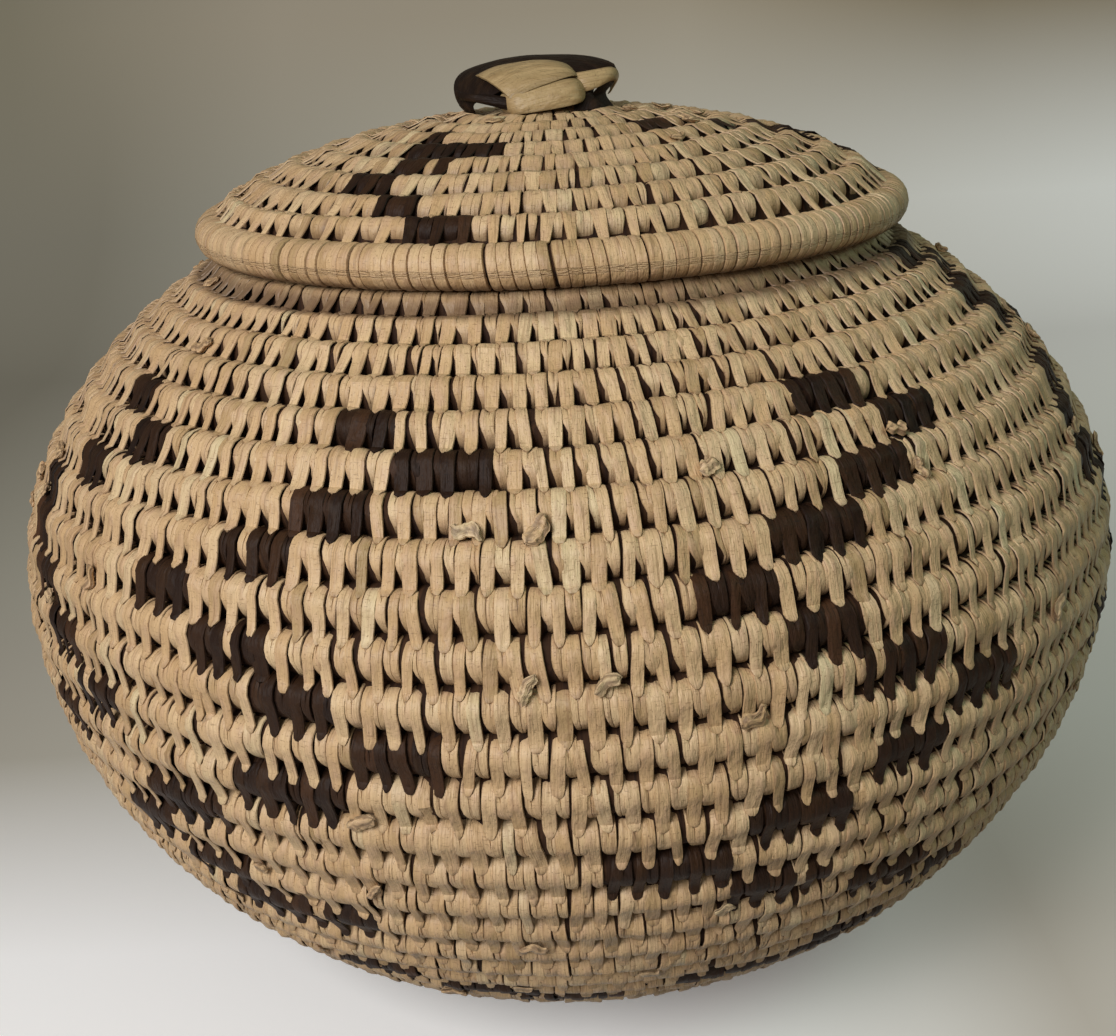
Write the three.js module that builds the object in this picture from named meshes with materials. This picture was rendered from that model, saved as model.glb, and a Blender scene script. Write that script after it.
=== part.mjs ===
// Ukhamba: a lidded basket, coiled from a grass core and stitched with palm leaf.
//
// The real body is one long coil. It starts at the middle of the base and climbs round and
// round to the mouth, anticlockwise seen from above. Leaf strips sew each round to the one
// before it. Here every full round is its own solid, cut from that one unbroken spiral, and
// the seams between rounds lie where the stitches pull them together. The lid is a second
// coil, a roll closes its edge, a collar of coils under it drops into the mouth, and five
// plaited leaf strips make its knob.
//
// Millimetres, +Z up, origin on the ground at the middle of the base.

import * as THREE from 'three';

// Body: two half ellipses meet at the belly and stand on a flat base
const BELLY_RADIUS = 160;
const BELLY_HEIGHT = 123;
const BASE_RADIUS = 67;
const SHOULDER_RISE = 110.4;
const BODY_THICKNESS = 10.4;
const MOUTH_RING_RADIUS = 72;
const MOUTH_ROLL_RADIUS = 5.4;

// The body coil turns 35 times. Its rows are 11.7 mm wide a little above the belly, and thin
// out towards the base and the mouth to these shares of that.
const BODY_TURNS = 35;
const BASE_ROW_SHARE = 0.838;
const MOUTH_ROW_SHARE = 0.752;
const THICKEST_ABOVE_BELLY = 13;
const ROW_FADE_LENGTH = 128;
const FOOT_WIDTH = 3;

// Lid: a shallow dome that carries the line of the shoulder on to the knob
const LID_RING_RADIUS = 96;
const LID_ROLL_RADIUS = 5.6;
const LID_DOME_SPREAD = 12.8;
const LID_DOME_RISE = 41.6;
const LID_THICKNESS = 10;
const LID_TURNS = 9;

// Collar under the lid
const COLLAR_ROUNDS = 2;
const COLLAR_ROLL_RADIUS = 4.8;
const COLLAR_CLEARANCE = 1.6;

// Shared by both coils
const START_RADIUS = 3;
const START_FULLNESS = 0.75;
const TIP_WIDTH = 1.6;
const BEND_REACH = 4.4;
const SEAM = 0.3;
const SEAT = 0.35;
const FLANK = 0.28;

// Knob: three strips run along it and two cross them, over and under in turn
const KNOB_LENGTH = 45;
const KNOB_DEPTH = 31;
const KNOB_HEIGHT = 14.5;
const KNOB_SHIFT = -3;
const KNOB_TURN = THREE.MathUtils.degToRad(20);
const LONG_STRIP_WIDTH = 7;
const LONG_STRIP_SPACING = 8;
const CROSS_STRIP_WIDTH = 8;
const CROSS_STRIP_SPACING = 18;
const STRIP_THICKNESS = 0.8;
const STRIP_WEAVE = 0.95;
const STRIP_END_ANGLE = THREE.MathUtils.degToRad(110);
const STRIP_END_STEP = THREE.MathUtils.degToRad(0.25);

// How finely the curves are cut
const ROUND_STEPS = 24;
const SMALL_ROUND_STEPS = 12;
const SMALL_ROUND_LIMIT = 46;
const SPACING_STEPS = 800;
const HALVINGS = 40;
const RIM_ROLL_STEPS = 48;
const ROLL_SIDES = 8;
const STRIP_STEPS = 16;

const naturalLeaf = new THREE.MeshStandardMaterial({ color: 0xd9b88b, roughness: 0.7, metalness: 0 });
const dyedLeaf = new THREE.MeshStandardMaterial({ color: 0x39251a, roughness: 0.6, metalness: 0 });

// An outline is the outer face of a coiled wall in section: x is the radius, y the height.
// It runs from the axis outwards. outside is 1 where the outer face is on the right of that
// way, as on the body, and -1 where it is on the left, as on the lid.
class Outline {
  constructor(curves, outside) {
    this.path = new THREE.CurvePath();
    curves.forEach((curve) => this.path.add(curve));
    this.length = this.path.getLength();
    this.outside = outside;
  }

  pointAt(distance) {
    const share = THREE.MathUtils.clamp(distance / this.length, 0, 1);
    return this.path.getPoint(share);
  }

  // The point that lies depth under the outer face. The way in is square to a chord about as
  // long as a row, so the faces of neighbouring rounds stay parallel round a bend.
  place(distance, depth) {
    const chord = this.pointAt(distance + BEND_REACH).sub(this.pointAt(distance - BEND_REACH));
    const inward = new THREE.Vector2(-chord.y, chord.x).normalize();
    return this.pointAt(distance).addScaledVector(inward, depth * this.outside);
  }

  // The distance along the outline where the point at this depth has this radius
  distanceAt(radius, depth, near, far) {
    let low = near;
    let high = far;
    const grows = this.place(far, depth).x > this.place(near, depth).x;
    for (let halving = 0; halving < HALVINGS; halving += 1) {
      const middle = (low + high) / 2;
      if ((this.place(middle, depth).x < radius) === grows) low = middle;
      else high = middle;
    }
    return (low + high) / 2;
  }
}

const footAngle = Math.acos(BASE_RADIUS / BELLY_RADIUS);
const undersideDrop = BELLY_HEIGHT / Math.sin(footAngle);
const body = new Outline([
  new THREE.LineCurve(new THREE.Vector2(0, 0), new THREE.Vector2(BASE_RADIUS, 0)),
  new THREE.EllipseCurve(0, BELLY_HEIGHT, BELLY_RADIUS, undersideDrop, -footAngle, 0),
  new THREE.EllipseCurve(0, BELLY_HEIGHT, BELLY_RADIUS, SHOULDER_RISE, 0, Math.PI / 2),
], 1);
const bellyDistance = body.path.getCurveLengths()[1];

// The lid's roll rests on the shoulder, and its dome is tangent to the roll
const lidRollDepth = -(LID_ROLL_RADIUS + SEAT);
const lidRollFoot = body.distanceAt(LID_RING_RADIUS, lidRollDepth, bellyDistance, body.length);
const lidRollHeight = body.place(lidRollFoot, lidRollDepth).y;
const domeRadius = LID_RING_RADIUS + LID_DOME_SPREAD;
const domeAt = (height) => new Outline([
  new THREE.EllipseCurve(0, height, domeRadius, LID_DOME_RISE, Math.PI / 2, 0, true),
], -1);
const loose = domeAt(0);
const lidRollDistance = loose.distanceAt(LID_RING_RADIUS, LID_ROLL_RADIUS, 0, loose.length);
const lid = domeAt(lidRollHeight - loose.place(lidRollDistance, LID_ROLL_RADIUS).y);
const lidTop = lid.pointAt(0).y;

// Width of a row of the body coil here, as a share of its widest row
function bodyRowShare(distance) {
  const above = distance - bellyDistance - THICKEST_ABOVE_BELLY;
  const thinShare = above > 0 ? MOUTH_ROW_SHARE : BASE_ROW_SHARE;
  const away = Math.min(Math.abs(above) / ROW_FADE_LENGTH, 1);
  return thinShare + (1 - thinShare) * (1 - away * away) ** 2;
}

// Distances of the seam, one for each step of each turn, from the coil's start to its tip. The
// widest row is as wide as lets the coil fill the outline in its turns.
function seamDistances(first, last, turns, rowShare) {
  const stride = (last - first) / SPACING_STEPS;
  let widestRows = 0;
  for (let step = 0; step < SPACING_STEPS; step += 1) {
    widestRows += stride / rowShare(first + step * stride);
  }
  const steps = turns * ROUND_STEPS;
  const seam = [first];
  for (let step = 0; step < steps; step += 1) {
    seam.push(seam[step] + (rowShare(seam[step]) * widestRows) / steps);
  }
  const stretch = (last - first) / (seam[steps] - first);
  return seam.map((distance) => first + (distance - first) * stretch);
}

// Skin over a row of rings that all have as many points, with flat ends
function skin(rings) {
  const points = rings.flat();
  const sides = rings[0].length;
  const faces = [];
  for (let ring = 1; ring < rings.length; ring += 1) {
    for (let side = 0; side < sides; side += 1) {
      const turn = (side + 1) % sides;
      const before = (ring - 1) * sides;
      const after = ring * sides;
      faces.push([before + side, before + turn, after + turn], [before + side, after + turn, after + side]);
    }
  }
  const lastRing = points.length - sides;
  points.push(centreOf(rings[0]), centreOf(rings.at(-1)));
  for (let side = 0; side < sides; side += 1) {
    const turn = (side + 1) % sides;
    faces.push([points.length - 2, turn, side]);
    faces.push([points.length - 1, lastRing + side, lastRing + turn]);
  }
  return solidFrom(points, faces);
}

function centreOf(ring) {
  const centre = new THREE.Vector3();
  ring.forEach((point) => centre.add(point));
  return centre.divideScalar(ring.length);
}

// Closed geometry whose faces look outwards, whichever way round they were listed
function solidFrom(points, faces) {
  let volume = 0;
  faces.forEach(([a, b, c]) => {
    volume += points[a].dot(points[b].clone().cross(points[c]));
  });
  const outward = volume > 0 ? faces : faces.map(([a, b, c]) => [a, c, b]);
  const geometry = new THREE.BufferGeometry().setFromPoints(points);
  geometry.setIndex(outward.flat());
  geometry.computeVertexNormals();
  return geometry;
}

function spin(corner, angle) {
  return new THREE.Vector3(corner.x * Math.cos(angle), corner.x * Math.sin(angle), corner.y);
}

// Section of one round between two seams: flat where it meets its neighbours, round in and out
function roundSection(outline, low, high, thickness, footWidth) {
  const middle = (low + high) / 2;
  const flank = thickness * FLANK;
  const foot = Math.min(footWidth, (high - low) / 2) / 2;
  const outer = footWidth > 0 ? [middle - foot, middle + foot] : [middle];
  return [
    ...outer.map((distance) => outline.place(distance, 0)),
    outline.place(high, flank),
    outline.place(high, thickness - flank),
    outline.place(middle, thickness),
    outline.place(low, thickness - flank),
    outline.place(low, flank),
  ];
}

// A round starts half a seam late and ends half a seam early
function endInset(step) {
  if (step === 0) return SEAM / 2;
  return step === ROUND_STEPS ? -SEAM / 2 : 0;
}

// One full round of a coil. turnWay is 1 where the coil winds anticlockwise seen from above.
function roundGeometry(outline, lowSeam, highSeam, thickness, footWidth, turnWay) {
  const rings = [];
  const small = outline.place(highSeam.at(-1), 0).x < SMALL_ROUND_LIMIT;
  const stride = small ? ROUND_STEPS / SMALL_ROUND_STEPS : 1;
  for (let step = 0; step <= ROUND_STEPS; step += stride) {
    const low = lowSeam[step] + SEAM / 2;
    const high = highSeam[step] - SEAM / 2;
    const radius = outline.place(low, thickness).x;
    const inset = endInset(step) / radius;
    const angle = (step / ROUND_STEPS) * 2 * Math.PI + inset;
    const section = roundSection(outline, low, high, thickness, footWidth);
    rings.push(section.map((corner) => spin(corner, angle * turnWay)));
  }
  return skin(rings);
}

// The curled first turn: a disc whose edge is the seam's first round
function startGeometry(outline, seam, thickness, turnWay) {
  const edge = [];
  for (let step = 0; step <= ROUND_STEPS; step += ROUND_STEPS / SMALL_ROUND_STEPS) {
    const inset = step === ROUND_STEPS ? SEAM / seam[step] : 0;
    edge.push({ reach: seam[step] - SEAM / 2, angle: (step / ROUND_STEPS) * 2 * Math.PI - inset });
  }
  const flank = thickness * FLANK;
  const levels = [
    { depth: 0, fullness: START_FULLNESS },
    { depth: flank, fullness: 1 },
    { depth: thickness - flank, fullness: 1 },
    { depth: thickness, fullness: START_FULLNESS },
  ];
  const rings = levels.map(({ depth, fullness }) => edge.map(({ reach, angle }) => (
    spin(outline.place(reach * fullness, depth), angle * turnWay)
  )));
  return skin(rings);
}

// Where a coil ends so that its last face stands a seam away from the roll beside it
function endBeside(outline, rollDistance, rollRadius, thickness) {
  const centre = outline.place(rollDistance, rollRadius);
  const step = SEAM / 10;
  let end = rollDistance - rollRadius;
  const gap = () => {
    const outer = outline.place(end, 0);
    const way = outline.place(end, thickness).sub(outer).normalize();
    return Math.abs(centre.clone().sub(outer).cross(way)) - rollRadius;
  };
  while (gap() < SEAM) end -= step;
  return end;
}

// All the pieces of one coil: its start, its full rounds and its thinned tip
function coilPieces({ name, outline, end, turns, rowShare, thickness, turnWay, footReach }) {
  const seam = seamDistances(START_RADIUS, end - TIP_WIDTH, turns, rowShare);
  const roundSeam = (round) => seam.slice(round * ROUND_STEPS, (round + 1) * ROUND_STEPS + 1);
  const start = startGeometry(outline, roundSeam(0), thickness, turnWay);
  const pieces = [piece(`${name}_coil_start`, start)];
  for (let round = 1; round < turns; round += 1) {
    const low = roundSeam(round - 1);
    const foot = low[0] < footReach ? FOOT_WIDTH : 0;
    const geometry = roundGeometry(outline, low, roundSeam(round), thickness, foot, turnWay);
    pieces.push(piece(`${name}_round_${String(round).padStart(2, '0')}`, geometry));
  }
  const level = new Array(ROUND_STEPS + 1).fill(end);
  const tip = roundGeometry(outline, roundSeam(turns - 1), level, thickness, 0, turnWay);
  pieces.push(piece(`${name}_coil_tip`, tip));
  return pieces;
}

function piece(name, geometry, material = naturalLeaf) {
  const mesh = new THREE.Mesh(geometry, material);
  mesh.name = name;
  return mesh;
}

// A closed, level roll of overcast coil
function roll(name, ringRadius, rollRadius, height, steps) {
  const mesh = piece(name, new THREE.TorusGeometry(ringRadius, rollRadius, ROLL_SIDES, steps));
  mesh.position.z = height;
  return mesh;
}

function makeBody() {
  const mouthFoot = body.distanceAt(MOUTH_RING_RADIUS, MOUTH_ROLL_RADIUS, bellyDistance, body.length);
  const mouthHeight = body.place(mouthFoot, MOUTH_ROLL_RADIUS).y;
  const coil = {
    name: 'body',
    outline: body,
    end: endBeside(body, mouthFoot, MOUTH_ROLL_RADIUS, BODY_THICKNESS),
    turns: BODY_TURNS,
    rowShare: bodyRowShare,
    thickness: BODY_THICKNESS,
    turnWay: 1,
    footReach: BASE_RADIUS,
  };
  const group = new THREE.Group();
  group.add(
    ...coilPieces(coil),
    roll('mouth_roll', MOUTH_RING_RADIUS, MOUTH_ROLL_RADIUS, mouthHeight, ROUND_STEPS),
  );
  return group;
}

function makeLid() {
  const coil = {
    name: 'lid',
    outline: lid,
    end: endBeside(lid, lidRollDistance, LID_ROLL_RADIUS, LID_THICKNESS),
    turns: LID_TURNS,
    rowShare: () => 1,
    thickness: LID_THICKNESS,
    turnWay: -1,
    footReach: 0,
  };
  const group = new THREE.Group();
  group.add(
    ...coilPieces(coil),
    roll('lid_rim_roll', LID_RING_RADIUS, LID_ROLL_RADIUS, lidRollHeight, RIM_ROLL_STEPS),
    ...makeCollar(),
    ...makeKnob(),
  );
  return group;
}

// Level coils hang under the dome, inside the mouth roll
function makeCollar() {
  const mouthRadius = MOUTH_RING_RADIUS - MOUTH_ROLL_RADIUS;
  const ringRadius = mouthRadius - COLLAR_CLEARANCE - COLLAR_ROLL_RADIUS;
  const depth = LID_THICKNESS + SEAT + COLLAR_ROLL_RADIUS;
  const top = lid.place(lid.distanceAt(ringRadius, depth, 0, lidRollDistance), depth).y;
  const spacing = 2 * COLLAR_ROLL_RADIUS + SEAM;
  const rounds = [];
  for (let round = 0; round < COLLAR_ROUNDS; round += 1) {
    const name = `lid_collar_${round + 1}`;
    rounds.push(roll(name, ringRadius, COLLAR_ROLL_RADIUS, top - round * spacing, ROUND_STEPS));
  }
  return rounds;
}

// The knob's strips lie on half an ellipsoid over the middle of the lid
const knobHalf = new THREE.Vector3(
  KNOB_LENGTH / 2,
  KNOB_DEPTH / 2,
  KNOB_HEIGHT,
).subScalar(STRIP_WEAVE + STRIP_THICKNESS / 2);

// A point on the ellipsoid: along its length or across it, aside from that line, lifted off it
function knobPoint(lengthwise, angle, aside, lift) {
  const run = lengthwise ? 'x' : 'y';
  const side = lengthwise ? 'y' : 'x';
  const narrowing = Math.sqrt(1 - (aside / knobHalf[side]) ** 2);
  const point = new THREE.Vector3();
  point[run] = knobHalf[run] * narrowing * Math.sin(angle);
  point[side] = aside;
  point.z = knobHalf.z * narrowing * Math.cos(angle);
  const outward = point.clone().divide(knobHalf).divide(knobHalf).normalize();
  return point.addScaledVector(outward, lift);
}

function fromKnobToLid(point) {
  const upright = new THREE.Vector3(0, 0, 1);
  return point.applyAxisAngle(upright, KNOB_TURN).add(new THREE.Vector3(KNOB_SHIFT, 0, lidTop));
}

// Height of a point over the lid's outer face
function clearOfLid(point) {
  const radius = Math.hypot(point.x, point.y);
  const fall = LID_DOME_RISE * (1 - Math.sqrt(1 - (radius / domeRadius) ** 2));
  return point.z - (lidTop - fall);
}

function stripSection(strip, angle) {
  const half = strip.width / 2;
  const along = knobPoint(strip.lengthwise, angle, strip.aside, 0);
  const lift = strip.weave(strip.lengthwise ? along.x : along.y);
  const edges = [-half, 0, half].map((offset) => strip.aside + offset);
  const face = (side) => edges.map((aside) => (
    knobPoint(strip.lengthwise, angle, aside, lift + (side * STRIP_THICKNESS) / 2)
  ));
  return [...face(1), ...face(-1).reverse()].map(fromKnobToLid);
}

// A strip runs from lid to lid, so each end is drawn back until it clears the lid's face
function endAngle(strip, way) {
  let angle = STRIP_END_ANGLE * way;
  const clearance = () => Math.min(...stripSection(strip, angle).map(clearOfLid));
  while (clearance() < SEAT) angle -= STRIP_END_STEP * way;
  return angle;
}

function makeStrip(strip) {
  const start = endAngle(strip, -1);
  const end = endAngle(strip, 1);
  const rings = [];
  for (let step = 0; step <= STRIP_STEPS; step += 1) {
    rings.push(stripSection(strip, start + ((end - start) * step) / STRIP_STEPS));
  }
  return piece(strip.name, skin(rings), strip.material);
}

// A strip that passes over the first strip it meets has a weave of 1, and under it of -1
function makeKnob() {
  const crossHalf = CROSS_STRIP_SPACING / 2;
  const swing = (place, half) => THREE.MathUtils.clamp(place / half, -1, 1);
  const long = (name, row, over, material) => makeStrip({
    name: `knob_strip_${name}`,
    lengthwise: true,
    width: LONG_STRIP_WIDTH,
    aside: row * LONG_STRIP_SPACING,
    weave: (x) => over * STRIP_WEAVE * Math.sin((swing(x, crossHalf) * Math.PI) / 2),
    material,
  });
  const cross = (name, side, over) => makeStrip({
    name: `knob_cross_strip_${name}`,
    lengthwise: false,
    width: CROSS_STRIP_WIDTH,
    aside: side * crossHalf,
    weave: (y) => over * STRIP_WEAVE * Math.cos(swing(y, LONG_STRIP_SPACING) * Math.PI),
    material: dyedLeaf,
  });
  return [
    long('front', -1, 1, naturalLeaf),
    long('middle', 0, -1, naturalLeaf),
    long('back', 1, 1, dyedLeaf),
    cross('left', -1, -1),
    cross('right', 1, 1),
  ];
}

const ukhamba = new THREE.Group();
ukhamba.add(makeBody(), makeLid());

export default ukhamba;
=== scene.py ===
"""Ukhamba: a lidded basket coiled from dry grass and sewn with split palm leaf."""

import math

import bpy
import numpy as np
from mathutils import Matrix, Vector


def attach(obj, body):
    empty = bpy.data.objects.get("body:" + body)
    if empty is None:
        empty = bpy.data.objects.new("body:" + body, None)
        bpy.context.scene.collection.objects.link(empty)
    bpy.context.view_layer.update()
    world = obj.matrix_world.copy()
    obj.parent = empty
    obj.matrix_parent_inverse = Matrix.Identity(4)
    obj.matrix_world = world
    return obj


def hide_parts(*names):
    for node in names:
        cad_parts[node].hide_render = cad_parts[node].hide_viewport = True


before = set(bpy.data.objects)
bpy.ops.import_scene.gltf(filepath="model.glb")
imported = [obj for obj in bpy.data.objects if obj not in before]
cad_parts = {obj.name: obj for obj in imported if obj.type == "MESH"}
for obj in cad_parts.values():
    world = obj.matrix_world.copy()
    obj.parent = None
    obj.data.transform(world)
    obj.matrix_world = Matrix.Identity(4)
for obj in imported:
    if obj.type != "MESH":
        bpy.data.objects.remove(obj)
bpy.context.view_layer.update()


# Camera
# It stands 47 cm in front of the basket's axis and 28 cm above the shelf, tipped down 19
# degrees and rolled 3. Its focal length is in pixels of the photograph.

PHOTO_WIDTH = 1116
FOCAL_LENGTH = 1600
SENSOR_WIDTH = 36
CAMERA_PLACE = (0, -0.4693, 0.2827)
CAMERA_YAW = math.radians(0.33)
CAMERA_PITCH = math.radians(18.84)
CAMERA_ROLL = math.radians(-3.02)
NEAREST_SEEN = 0.01


def add_object(name, data):
    """An object that puts this mesh, light or camera in the scene."""
    made = bpy.data.objects.new(name, data)
    bpy.context.scene.collection.objects.link(made)
    return made


camera_data = bpy.data.cameras.new("camera")
camera_data.sensor_fit = "HORIZONTAL"
camera_data.sensor_width = SENSOR_WIDTH
camera_data.lens = SENSOR_WIDTH * FOCAL_LENGTH / PHOTO_WIDTH
camera_data.clip_start = NEAREST_SEEN
camera = add_object("camera", camera_data)
camera.matrix_world = (
    Matrix.Translation(CAMERA_PLACE)
    @ Matrix.Rotation(CAMERA_YAW, 4, "Z")
    @ Matrix.Rotation(math.pi / 2 - CAMERA_PITCH, 4, "X")
    @ Matrix.Rotation(CAMERA_ROLL, 4, "Z")
)
bpy.context.scene.camera = camera


# Body: the path of the coil
# One coil of dry grass winds out from the middle of the base, up over the belly and in to
# the mouth, anticlockwise seen from above, each turn sewn to the one before it. The wall it
# makes is two half ellipses on a flat base. All sizes are millimetres.

BELLY_RADIUS = 160
BELLY_HEIGHT = 123
BASE_RADIUS = 67
SHOULDER_RISE = 110.4
BODY_THICKNESS = 10.4
BODY_TURNS = 35
BASE_ROW_SHARE = 0.838
MOUTH_ROW_SHARE = 0.752
THICKEST_ABOVE_BELLY = 13
ROW_FADE_LENGTH = 128
MOUTH_RING_RADIUS = 72
MOUTH_ROLL_RADIUS = 5.4
START_RADIUS = 3
TIP_WIDTH = 1.6
TIP_TURN = 0.25
SEAM = 0.3
BEND_REACH = 4.4
ARC_POINTS = 1200
SEARCH_STEPS = 4000
TURN_STEPS = 8000


def ellipse_arc(across, up, height, start, stop):
    """Points of an ellipse round the axis, from one angle above its widest level to another."""
    angle = np.linspace(start, stop, ARC_POINTS)
    return np.stack([across * np.cos(angle), height + up * np.sin(angle)], axis=-1)


def round_axis(radius, angle, height):
    """Points in metres, at millimetres from the axis and above the floor."""
    return np.stack([radius * np.cos(angle), radius * np.sin(angle), height], axis=-1) / 1000


class CoiledWall:
    """A wall of one coil. Its outline is the outer face in section, from the axis outwards."""

    def __init__(self, outline, inward, thickness, turn_way):
        steps = np.hypot(*np.diff(outline, axis=0).T)
        self.outline = outline
        self.distances = np.concatenate([[0], np.cumsum(steps)])
        self.length = self.distances[-1]
        self.inward = inward
        self.thickness = thickness
        self.turn_way = turn_way

    def on_outline(self, distance):
        radius = np.interp(distance, self.distances, self.outline[:, 0])
        height = np.interp(distance, self.distances, self.outline[:, 1])
        return np.stack([radius, height], axis=-1)

    def place(self, distance, depth):
        """Radius and height of the point this deep under the outer face."""
        chord = self.on_outline(distance + BEND_REACH) - self.on_outline(distance - BEND_REACH)
        inward = np.stack([-chord[..., 1], chord[..., 0]], axis=-1) * self.inward
        inward /= np.linalg.norm(inward, axis=-1, keepdims=True)
        return self.on_outline(distance) + inward * np.expand_dims(depth, -1)

    def distance_at(self, radius, depth, near, far):
        """Where between near and far the point at this depth has this radius."""
        tries = np.linspace(near, far, SEARCH_STEPS)
        radii = self.place(tries, np.full(tries.shape, depth))[:, 0]
        return tries[np.abs(radii - radius).argmin()]

    def end_beside(self, ring_distance, ring_radius):
        """Where the coil stops so that it stands a seam away from the roll beside it."""
        centre = self.place(ring_distance, ring_radius)
        end = ring_distance - ring_radius
        while True:
            outer = self.place(end, 0.0)
            way = self.place(end, self.thickness) - outer
            off = centre - outer
            gap = abs(off[0] * way[1] - off[1] * way[0]) / np.hypot(*way) - ring_radius
            if gap >= SEAM:
                return end
            end -= SEAM / 10

    def wind(self, end, turns, row_share):
        """Lays the seam between neighbouring turns, so that this many turns fill the wall."""
        last = end - TIP_WIDTH
        samples = np.linspace(START_RADIUS, last, SEARCH_STEPS)
        rows = np.concatenate([[0], np.cumsum(np.diff(samples) / row_share(samples[:-1]))])
        self.end = end
        self.turns = turns
        self.seam_turns = rows / rows[-1] * turns
        self.seam_distances = samples
        self.steps = np.linspace(0, turns + 1, TURN_STEPS)
        radii = self.place(self.row(self.steps)[0], 0.0 * self.steps)[:, 0]
        self.lengths = np.cumsum(radii * 2 * np.pi * self.steps[1])

    def seam_at(self, turn):
        """Distance of the coil's outer seam after this many turns. Before 0 it runs to the
        axis, and after the last turn out to the wall's end."""
        inside = np.interp(turn, self.seam_turns, self.seam_distances)
        start = np.maximum(START_RADIUS * (1 + turn), 0)
        past = (turn - self.turns) / TIP_TURN
        tip = np.minimum(self.end, self.end - TIP_WIDTH * (1 - past))
        return np.where(turn < 0, start, np.where(turn > self.turns, tip, inside))

    def row(self, turn):
        """Middle and half width of the coil at this turn."""
        low, high = self.seam_at(turn - 1), self.seam_at(turn)
        return (low + high) / 2, (high - low) / 2

    def points(self, turn, across, distance, depth):
        """Points in metres: across is millimetres along the coil from where it is at this turn."""
        section = self.place(distance, depth)
        radius, height = section[..., 0], section[..., 1]
        angle = (turn * 2 * np.pi + across / np.maximum(radius, START_RADIUS)) * self.turn_way
        return round_axis(radius, angle, height)


foot_angle = math.acos(BASE_RADIUS / BELLY_RADIUS)
floor_line = np.stack([np.linspace(0, BASE_RADIUS, 200), np.zeros(200)], axis=-1)
underside = ellipse_arc(
    BELLY_RADIUS, BELLY_HEIGHT / math.sin(foot_angle), BELLY_HEIGHT, -foot_angle, 0
)
shoulder = ellipse_arc(BELLY_RADIUS, SHOULDER_RISE, BELLY_HEIGHT, 0, math.pi / 2)
body_wall = CoiledWall(
    np.concatenate([floor_line, underside[1:], shoulder[1:]]), 1, BODY_THICKNESS, 1
)
belly_distance = body_wall.distances[len(floor_line) + len(underside) - 2]


def body_row_share(distance):
    """Rows thin out from a little above the belly towards the base and the mouth."""
    above = distance - belly_distance - THICKEST_ABOVE_BELLY
    thin = np.where(above > 0, MOUTH_ROW_SHARE, BASE_ROW_SHARE)
    away = np.minimum(np.abs(above) / ROW_FADE_LENGTH, 1)
    return thin + (1 - thin) * (1 - away**2) ** 2


mouth_distance = body_wall.distance_at(
    MOUTH_RING_RADIUS, MOUTH_ROLL_RADIUS, belly_distance, body_wall.length
)
body_wall.wind(
    body_wall.end_beside(mouth_distance, MOUTH_ROLL_RADIUS), BODY_TURNS, body_row_share
)


# Body: the grass core
# The core is a bundle of dry grass stems, laid in turns that the stitches press together. It shows
# only as a dark, stringy round in the grooves where the leaf doesn't cover it: its colour is
# painted far darker than dry grass, as painted shade for those grooves.

CORE_UNDER_LEAF = 1.1
CORE_LEAST_HALF = 0.2
CORE_PRESS = 0.1
CORE_END_PRESS = 1.4
CORE_START = -0.8
BODY_CORE_END = BODY_TURNS + 0.95
CORE_STEPS_PER_TURN = 60
CORE_SIDES = np.radians(np.arange(0, 360, 30))
CORE_AROUND = np.degrees(CORE_SIDES) / 10
# The grass is painted much darker than dry grass, as painted shade in the grooves.
GRASS_SHADES = ((0.35, "22120a"), (0.65, "422a18"))
GRASS_STEMS = (0.05, 1, 3)
GRASS_RELIEF = {"Strength": 0.6, "Distance": 0.0004}
GRASS_ROUGHNESS = 0.85
GRASS_SHINE = 0.25


def linear(colour):
    """An sRGB hex colour as the linear values that Blender's sockets take."""
    parts = [int(colour[i : i + 2], 16) / 255 for i in (0, 2, 4)]
    bright = [(c / 12.92 if c <= 0.04045 else ((c + 0.055) / 1.055) ** 2.4) for c in parts]
    return (*bright, 1)


def node(tree, kind, links=None, stops=(), **settings):
    """Adds a node. Settings that name one of its sockets fill it, and links feed sockets by
    name. stops are the places from 0 to 1 and the sRGB hex colours of a colour ramp."""
    made = tree.nodes.new(kind)
    for name, value in settings.items():
        socket = name.replace("_", " ")
        if socket in made.inputs:
            made.inputs[socket].default_value = value
        else:
            setattr(made, name, value)
    for number, (place, colour) in enumerate(stops):
        elements = made.color_ramp.elements
        stop = elements[number] if number < len(elements) else elements.new(place)
        stop.position = place
        stop.color = linear(colour)
    for name, source in (links or {}).items():
        tree.links.new(source, made.inputs[name])
    return made


def new_material(name):
    """An empty node material with its Principled shader."""
    material = bpy.data.materials.new(name)
    material.use_nodes = True
    tree = material.node_tree
    return material, tree, tree.nodes["Principled BSDF"]


def pattern(tree, across, along, detail):
    """Noise with this many waves per millimetre across a strip and along it."""
    strip = node(tree, "ShaderNodeUVMap", uv_map="strip").outputs["UV"]
    place = node(tree, "ShaderNodeMapping", {"Vector": strip}, Scale=(across, along, 1))
    links = {"Vector": place.outputs["Vector"]}
    return node(tree, "ShaderNodeTexNoise", links, Scale=1, Detail=detail).outputs["Fac"]


def finish_material(tree, shader, colour, bump, roughness, shine):
    """Gives the shader its colour and relief, its roughness, and how strongly it mirrors."""
    tree.links.new(colour, shader.inputs["Base Color"])
    tree.links.new(bump.outputs["Normal"], shader.inputs["Normal"])
    shader.inputs["Roughness"].default_value = roughness
    shader.inputs["Specular IOR Level"].default_value = shine


def grass_material():
    """Dry grass: matt, painted dark brown as painted shade for the grooves it shows in. It gets
    paler and darker about every millimetre.
    """
    material, tree, shader = new_material("dry_grass")
    stems = pattern(tree, *GRASS_STEMS)
    shades = node(tree, "ShaderNodeValToRGB", {"Fac": stems}, GRASS_SHADES).outputs["Color"]
    bump = node(tree, "ShaderNodeBump", {"Height": stems}, **GRASS_RELIEF)
    finish_material(tree, shader, shades, bump, GRASS_ROUGHNESS, GRASS_SHINE)
    return material


dry_grass = grass_material()


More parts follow.
